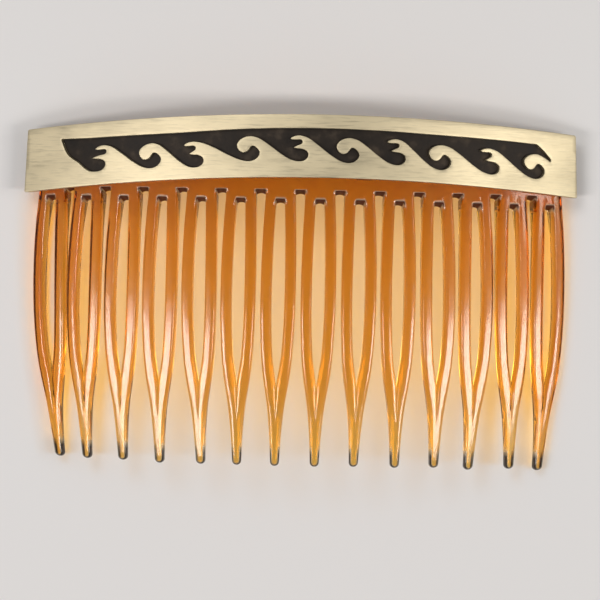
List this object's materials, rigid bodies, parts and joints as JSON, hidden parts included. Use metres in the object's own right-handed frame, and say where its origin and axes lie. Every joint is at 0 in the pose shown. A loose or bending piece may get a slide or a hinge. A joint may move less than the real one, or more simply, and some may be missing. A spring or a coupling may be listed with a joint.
{
  "type": "decorative hair comb",
  "caption": "Side hair comb with looped translucent amber teeth and a bent silver bar pierced with a running wave border.",
  "frame": {"origin": "on the surface that the comb lies on, under the middle of its bounding box", "axes": "+X along the bar, +Y from the tooth tips to the bar, +Z out of the decorated face"},
  "size_m": [0.0904, 0.0572, 0.0145],
  "materials": {
    "silver": "satin brushed, lightly tarnished",
    "oxidised_silver": "blackened and matte",
    "amber_plastic": "translucent amber, glossy"
  },
  "bodies": {
    "root": {"backing_plate": "oxidised_silver", "comb_spine": "amber_plastic", "fixing_tab_1": "silver", "fixing_tab_2": "silver", "fixing_tab_3": "silver", "fixing_tab_4": "silver", "overlay_plate": "silver", "tooth_01": "amber_plastic", "tooth_02": "amber_plastic", "tooth_03": "amber_plastic", "tooth_04": "amber_plastic", "tooth_05": "amber_plastic", "tooth_06": "amber_plastic", "tooth_07": "amber_plastic", "tooth_08": "amber_plastic", "tooth_09": "amber_plastic", "tooth_10": "amber_plastic", "tooth_11": "amber_plastic", "tooth_12": "amber_plastic", "tooth_13": "amber_plastic", "tooth_14": "amber_plastic"}
  },
  "joints": []
}
